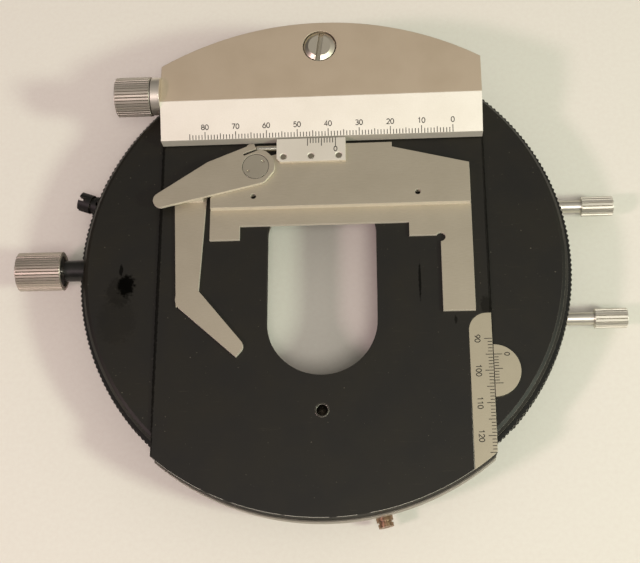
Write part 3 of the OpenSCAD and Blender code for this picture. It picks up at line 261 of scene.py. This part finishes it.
# Centring slide, bearing ring and retaining ring with its screws: mild steel, turned and left bright.
# Lathe rings show on the faces as fine circles round the axis.
def turned(tree, pitch, centre):
    """Lathe marks round an upright axis through centre, in mm: noise that changes up and outwards only."""
    upright = (0, 0, 1)
    place = put(tree, "TexCoord", out="Object")
    middle = (centre[0] * MM, centre[1] * MM, 0)
    arm = put(tree, "VectorMath", {"operation": "SUBTRACT", 0: place, 1: middle})
    along = put(tree, "VectorMath", {"operation": "DOT_PRODUCT", 0: arm, 1: upright}, "Value")
    across = put(tree, "VectorMath", {"operation": "CROSS_PRODUCT", 0: arm, 1: upright})
    out = put(tree, "VectorMath", {"operation": "LENGTH", 0: across}, "Value")
    line = put(tree, "CombineXYZ", {0: along, 1: out})
    return put(tree, "TexNoise", {"Scale": 1 / (MM * pitch), "Detail": 2.0, "Vector": line}, "Fac")


def metal(name, tone, dull, rough, marks, depth, edge=0.15, recess_shade=0.0, reach=0.6):
    """Metal with tool marks from the function marks, depth mm deep, dull stains, a painted highlight on edges
    of a radius in mm, and a share of painted shade, darkening by ambient occlusion, in grooves up to reach mm
    wide."""
    # Grit and tool marks finer than about 0.15 mm don't show in the render, so none is drawn much finer.
    stain_size = 11.0
    made, tree, shader = material(name, {"Metallic": 1.0})
    soft, rim = edges(tree, edge)
    lines = put(tree, "MapRange", {"Value": marks(tree), "From Min": 0.3, "From Max": 0.7})
    patches = grain(tree, stain_size)
    stain = put(tree, "MapRange", {"Value": patches, "From Min": 0.40, "From Max": 0.75, "To Max": 0.22})
    lined = put(tree, "MapRange", {"Value": lines, "To Max": 0.15})
    # Painted highlight: sharp edges are lightened towards near white.
    bright = put(tree, "MapRange", {"Value": rim, "To Max": 0.4})
    layers = [(stain, dull), (lined, dull), (bright, "fbf6ea")]
    # Painted shade: grooves and recesses within reach mm of other surfaces are darkened towards dark brown by
    # ambient occlusion.
    if recess_shade:
        occlusion = put(tree, "AmbientOcclusion", {"samples": 12, "Distance": reach * MM}, "AO")
        shade_in_grooves = {"Value": occlusion, "From Min": 0.70, "From Max": 0.25, "To Max": recess_shade}
        layers.append((put(tree, "MapRange", shade_in_grooves), "2a241c"))
    colour = linear(tone)
    for share, layer in layers:
        colour = put(tree, "Mix", {"data_type": "RGBA", 0: share, 6: colour, 7: linear(layer)}, 2)
    tree.links.new(colour, shader.inputs["Base Color"])
    finish = put(tree, "MapRange", {"Value": lines, "To Min": rough - 0.05, "To Max": rough + 0.06})
    tree.links.new(finish, shader.inputs["Roughness"])
    cut = {"Strength": 1.0, "Distance": depth * MM, "Height": lines, "Normal": soft}
    tree.links.new(put(tree, "Bump", cut), shader.inputs["Normal"])
    return made


ring_steel = metal(
    "mild_steel_turned_bright", "c9c4b8", "8f897c", rough=0.32,
    marks=lambda tree: turned(tree, pitch=0.4, centre=(0, 0)), depth=0.004,
)
dress(ring_steel, "centring_slide", "centring_ring", "retaining_ring", "retaining_screws")


# Bearing: hardened steel balls in a stamped brass cage between the ring and the turntable.
# The balls are lapped, so they mirror; the cage keeps the fine grain of rolled sheet.
ball_steel = metal(
    "bearing_steel_lapped", "dcdad4", "b9b5ab", rough=0.10,
    marks=lambda tree: grain(tree, 0.3), depth=0.0005,
)
dress(ball_steel, "bearing_balls")
cage_brass = metal(
    "brass_sheet_rolled", "d8b56a", "9c7a3e", rough=0.30,
    marks=lambda tree: grain(tree, 0.15, (12, 1, 1)), depth=0.003,
)
dress(cage_brass, "ball_cage")


# Two centring screws with straight-knurled heads, and the tips they push: free-cutting steel, nickel plated.
# The heads stand out at the right, one behind the other. The plating is smooth and bright, with painted shade
# in its grooves.
screw_nickel = metal(
    "steel_turned_nickel_plated", "dfdacf", "c0baad", rough=0.40,
    marks=lambda tree: grain(tree, 3.0), depth=0.0004, edge=0.06, recess_shade=0.6, reach=0.4,
)
dress(screw_nickel, "rear_centring_screw", "front_centring_screw", "rear_centring_tip", "front_centring_tip")


# Spring plug: a slotted steel screw with a waist, black oxide, that holds the counter-spring at the left.
# The oxide is thin, so its edges go grey. The spring is wound of music wire and presses on the bearing ring.
# Its coil is in two halves that meet at the centring slide.
plug_oxide = anodised("steel_black_oxide_oiled", "0a0806", "120f0b", rub=0.7, edge=0.12)
dress(plug_oxide, "spring_plug")


def piece_from(sheet, name, made):
    """A new object from a bmesh, in one material."""
    bmesh.ops.recalc_face_normals(sheet, faces=sheet.faces)
    mesh = bpy.data.meshes.new(name)
    sheet.to_mesh(mesh)
    sheet.free()
    mesh.materials.append(made)
    piece = bpy.data.objects.new(name, mesh)
    bpy.context.scene.collection.objects.link(piece)
    return piece


def coil(name, made, start, end, outer, wire, turns, inset=(1, 1)):
    """A wire helix from start to end, in mm, of two radii, drawn in at its ends by inset wires."""
    first, last = Vector(start) * MM, Vector(end) * MM
    axis = (last - first).normalized()
    side = axis.orthogonal().normalized()
    other = axis.cross(side)
    around, per_turn = 8, 20
    steps = int(turns * per_turn)
    near, far = [wire * MM * n / (last - first).length for n in inset]
    sheet = bmesh.new()
    loops = []
    for i in range(steps + 1):
        angle = 2 * math.pi * i / per_turn
        out = side * math.cos(angle) + other * math.sin(angle)
        middle = first.lerp(last, near + (1 - near - far) * i / steps) + out * (outer - wire) * MM
        spots = []
        for k in range(around):
            lean = 2 * math.pi * k / around
            rim = out * math.cos(lean) + axis * math.sin(lean)
            spots.append(sheet.verts.new(middle + rim * wire * MM))
        loops.append(spots)
    for a, b in zip(loops, loops[1:]):
        for k in range(around):
            sheet.faces.new((a[k], a[k - 1], b[k - 1], b[k])).smooth = True
    sheet.faces.new(loops[0])
    sheet.faces.new(list(reversed(loops[-1])))
    return piece_from(sheet, name, made)


wire_steel = metal(
    "music_wire_drawn", "bdb9ae", "77726a", rough=0.28,
    marks=lambda tree: grain(tree, 0.2, (6, 1, 1)), depth=0.002, edge=0.05,
)
plug_angle, screw_height = math.radians(160.3), 7.8
bearing_reach, slide_reach, plug_reach = 56.1, 61.0, 67.0
outward = Vector((math.cos(plug_angle), math.sin(plug_angle), 0))
lift = Vector((0, 0, screw_height))
spring_start = outward * bearing_reach + lift
spring_middle = outward * slide_reach + lift
spring_end = outward * plug_reach + lift
for name, start, end, turns, inset, body, next_body in (
    ("counter_spring_coil_inner", spring_start, spring_middle, 4, (1, 0), "bearing_ring", "centring_slide"),
    ("counter_spring_coil_outer", spring_middle, spring_end, 5, (0, 1), "centring_slide", "base"),
):
    half = coil(name, wire_steel, start, end, outer=1.65, wire=0.28, turns=turns, inset=inset)
    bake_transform(half)
    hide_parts("counter_spring")


# Brake: a small slotted brass screw at the front that presses a brass pin on the bearing ring.
# Brass goes brown where it isn't touched.
# Painted shade darkens the brass in its slot and grooves.
brake_brass = metal(
    "brass_turned_tarnished", "9c8068", "6d5543", rough=0.36,
    marks=lambda tree: grain(tree, 0.25, (20, 1, 20)), depth=0.004, edge=0.1, recess_shade=0.6,
)
dress(brake_brass, "brake_screw", "brake_pin")


# Grip ring: three arcs of fine straight teeth round the turntable, milled in the same black aluminium.
# The tooth crests are rubbed by thumbs to a grey sheen.
grip_black = anodised("black_anodised_aluminium_milled_teeth", "0a0906", "14120c", rub=0.8, edge=0.12)
dress(grip_black, "grip_ring")


# Y drive: a black moulded bush in the turntable's edge carries a ground shaft with a brass pinion.
# Outside sits the turned aluminium knob with straight knurls and a black core in its inner face.
# The resin is smooth and a little cloudy; the knob is satin, with painted shade in its grooves and a painted
# highlight on its rubbed crests.
black_plastic, tree, shader = material("phenolic_resin_moulded")
soft, rim = edges(tree, 0.2)
flow = put(tree, "MapRange", {"Value": grain(tree, 3.0), "From Min": 0.35, "From Max": 0.7})
resin = put(tree, "Mix", {"data_type": "RGBA", 0: flow, 6: linear("0b0907"), 7: linear("13110d")}, 2)
chafed = put(tree, "MapRange", {"Value": rim, "To Max": 0.35})
rubbed = put(tree, "Mix", {"data_type": "RGBA", 0: chafed, 6: resin, 7: linear("57514a")}, 2)
tree.links.new(rubbed, shader.inputs["Base Color"])
gloss = put(tree, "MapRange", {"Value": flow, "To Min": 0.32, "To Max": 0.46})
tree.links.new(gloss, shader.inputs["Roughness"])
mould_skin = {"Strength": 1.0, "Distance": 0.006 * MM, "Height": grain(tree, 0.35), "Normal": soft}
tree.links.new(put(tree, "Bump", mould_skin), shader.inputs["Normal"])
dress(black_plastic, "y_bush", "y_knob_core")
ground_steel = metal(
    "silver_steel_ground", "cfcbc0", "98938a", rough=0.22,
    marks=lambda tree: grain(tree, 0.12, (1, 20, 20)), depth=0.002,
)
dress(ground_steel, "y_shaft", "x_guide_rod", "x_lead_screw", "plate_screws", "holder_screws")
gear_brass = metal(
    "brass_milled_bright", "d9b772", "94733e", rough=0.28,
    marks=lambda tree: grain(tree, 0.2, (1, 12, 1)), depth=0.004, edge=0.08,
)
dress(gear_brass, "y_pinion", "y_rack", "x_nut_carriage")


def knob_marks(tree):
    """Fine turning lines on a knob that lies along X."""
    return grain(tree, 0.16, (1, 60, 60), detail=1.0)


y_aluminium = metal(
    "aluminium_turned_and_knurled_worn", "cbc2b5", "a49a8b", rough=0.42,
    marks=knob_marks, depth=0.001, edge=0.12, recess_shade=0.7,
)
dress(y_aluminium, "y_knob")


# Carriage: a milled aluminium plate screwed under the slide plate, with wings in the turntable's slideway.
# It is left bare, so a bright ledge shows along the plate's front edge. The threaded bush in front of the
# light slot is of oiled steel, pressed into the plate, and shows as a thin dark rim.
# Painted shade darkens the carriage within 5 mm of other parts, under the slide plate and in its recesses.
carriage_mill = metal(
    "aluminium_milled_bare", "a8a297", "857f74", rough=0.40,
    marks=lambda tree: grain(tree, 0.3, (25, 1, 1)), depth=0.003, edge=0.2, recess_shade=0.95, reach=5.0,
)
dress(carriage_mill, "y_carriage")
# Painted shade darkens the inside of the bush's bore.
bush_steel = metal(
    "steel_bush_turned_oiled", "4a463f", "2a2823", rough=0.42,
    marks=lambda tree: grain(tree, 0.2), depth=0.002, edge=0.35, recess_shade=1.0, reach=3.0,
)
dress(bush_steel, "accessory_bush")


# Y scale and its vernier: thin plates of satin-chromed steel, let in flush, with engraved, blackened marks.
# The blasted chrome has no direction and a pale, warm sheen. The wax in the marks is matt and crumbly.
def stroke(sheet, points, width, face):
    """Adds one closed strip of the given width along points in mm on a face, mitred at its corners."""
    proud, deep = 0.02, 0.06
    closed = (points[0] - points[-1]).length < 1e-6
    if closed:
        points = points[:-1]
    count = len(points)
    rings = []
    for i, spot in enumerate(points):
        before = points[i - 1] if i or closed else None
        after = points[(i + 1) % count] if i < count - 1 or closed else None
        into = (spot - before).normalized() if before else (after - spot).normalized()
        onward = (after - spot).normalized() if after else into
        mitre = (into + onward).normalized().orthogonal()
        half = width / 2 / max(0.5, (into + onward).length / 2)
        flat = ((spot + mitre * half, proud), (spot - mitre * half, proud))
        flat += ((spot - mitre * half, -deep), (spot + mitre * half, -deep))
        rings.append([sheet.verts.new(face @ Vector((p.x, p.y, h)) * MM) for p, h in flat])
    for a, b in zip(rings, rings[1:] + (rings[:1] if closed else [])):
        for k in range(4):
            sheet.faces.new((a[k], a[k - 1], b[k - 1], b[k]))
    if not closed:
        sheet.faces.new(rings[0])
        sheet.faces.new(list(reversed(rings[-1])))


def bow(x, y, wide, high, start, end, steps=12):
    """Points along an arc of an ellipse, angles in degrees."""
    turns = [math.radians(start + (end - start) * i / steps) for i in range(steps + 1)]
    return [(x + wide * math.cos(a), y + high * math.sin(a)) for a in turns]


digit_width, digit_pitch = 0.62, 0.80
six = [(0.46, 1.0), (0.25, 0.78), (0.09, 0.54)] + bow(0.31, 0.31, 0.31, 0.31, 180, 539, 16)
digits = {
    "0": [bow(0.31, 0.5, 0.31, 0.5, 90, 450, 18)],
    "1": [[(0.12, 0.78), (0.36, 1.0), (0.36, 0.0)]],
    "2": [bow(0.31, 0.7, 0.29, 0.3, 165, -38) + [(0.02, 0.0), (digit_width, 0.0)]],
    "3": [bow(0.29, 0.76, 0.27, 0.24, 150, -85, 9) + bow(0.29, 0.26, 0.31, 0.26, 85, -150, 10)],
    "4": [[(0.47, 0.0), (0.47, 1.0), (0.0, 0.3), (digit_width, 0.3)]],
    "5": [[(0.56, 1.0), (0.13, 1.0), (0.07, 0.54)] + bow(0.29, 0.33, 0.31, 0.33, 118, -150)],
    "6": [six],
    "7": [[(0.0, 1.0), (0.6, 1.0), (0.22, 0.0)]],
    "8": [bow(0.31, 0.76, 0.25, 0.24, -90, 270, 14), bow(0.31, 0.26, 0.31, 0.26, 90, 450, 14)],
    "9": [[(digit_width - x, 1.0 - y) for x, y in six]],
}


def number(word, u, v, high):
    """The strokes of a number centred at u with its foot at v, high mm tall."""
    left = u - high * (digit_pitch * (len(word) - 1) + digit_width) / 2
    for place, sign in enumerate(word):
        for path in digits[sign]:
            yield [Vector((left + high * (digit_pitch * place + x), v + high * y)) for x, y in path]


def engrave(name, made, face, ticks, numbers, body):
    """A scale on a face, in mm: ticks (u, from v, to v, width), numbers (word, u, foot v, height, width)."""
    sheet = bmesh.new()
    for u, low, high, width in ticks:
        stroke(sheet, [Vector((u, low)), Vector((u, high))], width, face)
    for word, u, v, high, width in numbers:
        for path in number(word, u, v, high):
            stroke(sheet, path, width, face)
    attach(piece_from(sheet, name, made), body)


def face_at(origin, across, up):
    """The matrix from marks on a face, in mm, to the object, for a face's origin and its two directions."""
    u, v = Vector(across), Vector(up)
    return Matrix.Translation(origin) @ Matrix((u, v, u.cross(v))).transposed().to_4x4()


dull_chrome = metal(
    "steel_blasted_and_satin_chromed_dulled", "c2baa6", "a69d89", rough=0.62,
    marks=lambda tree: grain(tree, 0.18), depth=0.004, edge=0.12,
)
dress(dull_chrome, "y_scale", "y_vernier")
ink, tree, shader = material("black_wax_in_engraving", {"Roughness": 0.6})
crumb = put(tree, "MapRange", {"Value": grain(tree, 0.25), "From Min": 0.35, "From Max": 0.75})
wax = put(tree, "Mix", {"data_type": "RGBA", 0: crumb, 6: linear("15120e"), 7: linear("2c271f")}, 2)
tree.links.new(wax, shader.inputs["Base Color"])

edge_margin, tick_width, line_width = 0.06, 0.22, 0.26
long_tick, middle_tick, short_tick = 2.5, 2.2, 1.4
first_mark, last_mark, first_place = 90, 125, 26.6
digit_foot, digit_height = 5.27, 1.6
strip_corner = Vector(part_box("y_scale")[1]) / MM
right_edge = face_at((strip_corner.x, 0, strip_corner.z), (0, -1, 0), (1, 0, 0))
ticks, numbers = [], []
for n in range(first_mark, last_mark + 1):
    reach = long_tick if n % 10 == 0 else middle_tick if n % 5 == 0 else short_tick
    place = first_place + n - first_mark
    ticks.append((place, -reach, -edge_margin, tick_width))
    if n % 10 == 0:
        numbers.append((str(n), place, -digit_foot, digit_height, line_width))
engrave("y_scale_marks", ink, right_edge, ticks, numbers, "y_slide")

vernier_pitch, vernier_count, zero_place = 0.9, 11, 31.6
zero_foot, zero_height = 3.25, 1.5
moon_low, moon_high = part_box("y_vernier")
half_moon = face_at((moon_low[0] / MM, 0, moon_high[2] / MM), (0, -1, 0), (1, 0, 0))
ticks = []
for n in range(vernier_count):
    reach = long_tick if n % 5 == 0 else short_tick
    ticks.append((zero_place + vernier_pitch * n, edge_margin, reach, tick_width))
zero = ("0", zero_place, zero_foot, zero_height, line_width)
engrave("y_vernier_marks", ink, half_moon, ticks, [zero], "turntable")


# X housing with its clamp screw, and the sloping scale bar on its front: steel, blasted and satin chromed.
# The housing's chrome is older and warmer than the bar's. Millimetres and tens are engraved on the bar, whose
# front edge is cut and matt. The slotted clamp screw is nickel plated and bright, with painted shade in its
# recess.
def matt_sides(made, axis, low, high, bare=None):
    """Makes a metal's cut sides matt, where the normal's part along the axis goes from low to high. A colour
    given as bare shows there too, with black painted shade in holes."""
    tree = made.node_tree
    shader = tree.nodes["Principled BSDF"]
    base, gloss = shader.inputs["Base Color"], shader.inputs["Roughness"]
    facing = put(tree, "SeparateXYZ", {0: put(tree, "NewGeometry", out="Normal")}, axis)
    side = put(tree, "MapRange", {"Value": facing, "From Min": low, "From Max": high})
    tree.links.new(put(tree, "Mix", {0: side, 2: gloss.links[0].from_socket, 3: 0.85}), gloss)
    if bare:
        occlusion = put(tree, "AmbientOcclusion", {"samples": 12, "Distance": 2 * MM}, "AO")
        # Painted shade: the walls of holes are painted near black where ambient occlusion is deep.
        hole_shade = put(tree, "MapRange", {"Value": occlusion, "From Min": 0.38, "From Max": 0.18})
        edge = put(tree, "Mix", {"data_type": "RGBA", 0: hole_shade, 6: linear(bare), 7: linear("14110c")}, 2)
        face = base.links[0].from_socket
        tree.links.new(put(tree, "Mix", {"data_type": "RGBA", 0: side, 6: face, 7: edge}, 2), base)


def middle_of(name):
    """The middle of a CAD node's box, in mm."""
    low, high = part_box(name)
    return [(a + b) / 2 / MM for a, b in zip(low, high)]


house_chrome = metal(
    "steel_blasted_and_satin_chromed_aged", "dccdb8", "bfad93", rough=0.64,
    marks=lambda tree: grain(tree, 0.2), depth=0.005, edge=0.2,
)
dress(house_chrome, "x_housing")
clamp_middle = middle_of("housing_clamp_screw")
clamp_nickel = metal(
    "steel_turned_and_nickel_plated_clamp_screw", "e6dfce", "b8af9c", rough=0.34,
    marks=lambda tree: turned(tree, pitch=0.3, centre=clamp_middle), depth=0.002, recess_shade=0.95, reach=1.6,
)
dress(clamp_nickel, "housing_clamp_screw")
chrome = metal(
    "steel_blasted_and_satin_chromed", "ebe7de", "d3cdc0", rough=0.64,
    marks=lambda tree: grain(tree, 0.18), depth=0.004, edge=0.12,
)
matt_sides(chrome, "Y", -0.6, -0.9)
dress(chrome, "x_scale_bar")

zero_place, last_mark, tick_width, line_width = 42.5, 85, 0.26, 0.28
long_tick, middle_tick, short_tick = 2.46, 1.95, 1.58
digit_foot, digit_height, slope_height = 3.26, 1.6, 29.7
bar_low, bar_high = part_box("x_scale_bar")
slope_foot = Vector((0, bar_low[1] / MM, slope_height))
slope_up = (Vector((0, bar_high[1] / MM, bar_high[2] / MM)) - slope_foot).normalized()
slope = face_at(slope_foot, (1, 0, 0), slope_up)
ticks, numbers = [], []
for n in range(last_mark + 1):
    reach = long_tick if n % 10 == 0 else middle_tick if n % 5 == 0 else short_tick
    ticks.append((zero_place - n, edge_margin, reach, tick_width))
    if n % 10 == 0:
        numbers.append((str(n), zero_place - n, digit_foot, digit_height, line_width))
engrave("x_scale_marks", ink, slope, ticks, numbers, "y_slide")


# X knob and collar at the housing's left end: turned aluminium, bright from use, the knob straight-knurled.
# The knob turns the lead screw; the collar is smooth and pressed on the housing.
# Painted shade darkens the knob's knurl grooves and the collar's corners; a painted highlight lies on their
# edges.
x_aluminium = metal(
    "aluminium_turned_and_knurled_bright", "d0c8bc", "b0a79a", rough=0.40,
    marks=knob_marks, depth=0.001, edge=0.12, recess_shade=0.7,
)
dress(x_aluminium, "x_knob")
collar_aluminium = metal(
    "aluminium_turned_smooth_bright", "e6dfd4", "cbc3b6", rough=0.40,
    marks=knob_marks, depth=0.001, edge=0.12, recess_shade=0.7,
)
dress(collar_aluminium, "x_collar")


# Slide holder: a thin angle with a thick plate on it, blanked from steel sheet, nickel plated and brushed.
# It is a warm satin grey along the brush lines, with matt pale edges where it was cut.
# The vernier is a small chromed plate, brighter than the holder, held by three peened rivets.
cut_edge = "f2ecdf"
nickel = metal(
    "steel_sheet_brushed_nickel_plated", "c2baa9", "a69d8b", rough=0.62,
    marks=lambda tree: grain(tree, 0.16, (14, 1, 4)), depth=0.004,
)
# Painted shade blackens the walls of the pin holes.
matt_sides(nickel, "Z", 0.5, 0.2, cut_edge)
dress(nickel, "holder_lower_plate", "holder_upper_plate")
vernier_chrome = metal(
    "steel_sheet_blasted_and_satin_chromed", "f6f1e6", "e0d9ca", rough=0.62,
    marks=lambda tree: grain(tree, 0.18), depth=0.003, edge=0.12,
)
matt_sides(vernier_chrome, "Z", 0.5, 0.2, cut_edge)
dress(vernier_chrome, "x_vernier")
# Painted shade darkens the rivets where they meet the plate.
rivet_nickel = metal(
    "nickel_silver_peened", "a59d8c", "857c6b", rough=0.36,
    marks=lambda tree: grain(tree, 0.3), depth=0.008, edge=0.1, recess_shade=0.9,
)
dress(rivet_nickel, "vernier_rivets")

zero_place, tick_width, line_width = 4.8, 0.24, 0.28
long_ticks, short_tick = {0: 3.2, 5: 2.8, 10: 2.65}, 1.75
zero_foot, zero_height = 4.75, 1.6
vernier_corner = Vector(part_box("x_vernier")[1]) / MM
vernier_edge = face_at((0, vernier_corner.y, vernier_corner.z), (1, 0, 0), (0, 1, 0))
ticks = []
for n in range(vernier_count):
    reach = long_ticks.get(n, short_tick)
    ticks.append((zero_place - vernier_pitch * n, -reach, -edge_margin, tick_width))
zero = ("0", zero_place, -zero_foot, zero_height, line_width)
engrave("x_vernier_marks", ink, vernier_edge, ticks, [zero], "holder")


# Clip: a bent finger under a thumb lever on a pivot screw, returned by a plunger and a wound spring.
# Lever and finger are blanked from the same brushed nickel-plated sheet as the holder.
# The pivot screw is turned and polished, with two spanner holes.
dress(nickel, "clip_lever", "clip_finger")
pivot_middle = middle_of("pivot_screw")
# Painted shade darkens the pivot screw's spanner holes and its recess.
pivot_nickel = metal(
    "steel_turned_and_polished_nickel", "d2cab8", "b0a793", rough=0.34,
    marks=lambda tree: turned(tree, pitch=0.25, centre=pivot_middle), depth=0.004, edge=0.1, recess_shade=0.95,
)
dress(pivot_nickel, "pivot_screw")
dress(ground_steel, "clip_plunger")

spring_low, spring_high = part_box("clip_spring")
middle_y, middle_z = middle_of("clip_spring")[1:]
free_end = Vector((spring_low[0] / MM, middle_y, middle_z))
fixed_end = Vector((spring_high[0] / MM, middle_y, middle_z))
clip_coil = coil("clip_spring_coil", wire_steel, free_end, fixed_end, outer=0.88, wire=0.16, turns=14)
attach(clip_coil, "holder")
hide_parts("clip_spring")
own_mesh(clip_coil)
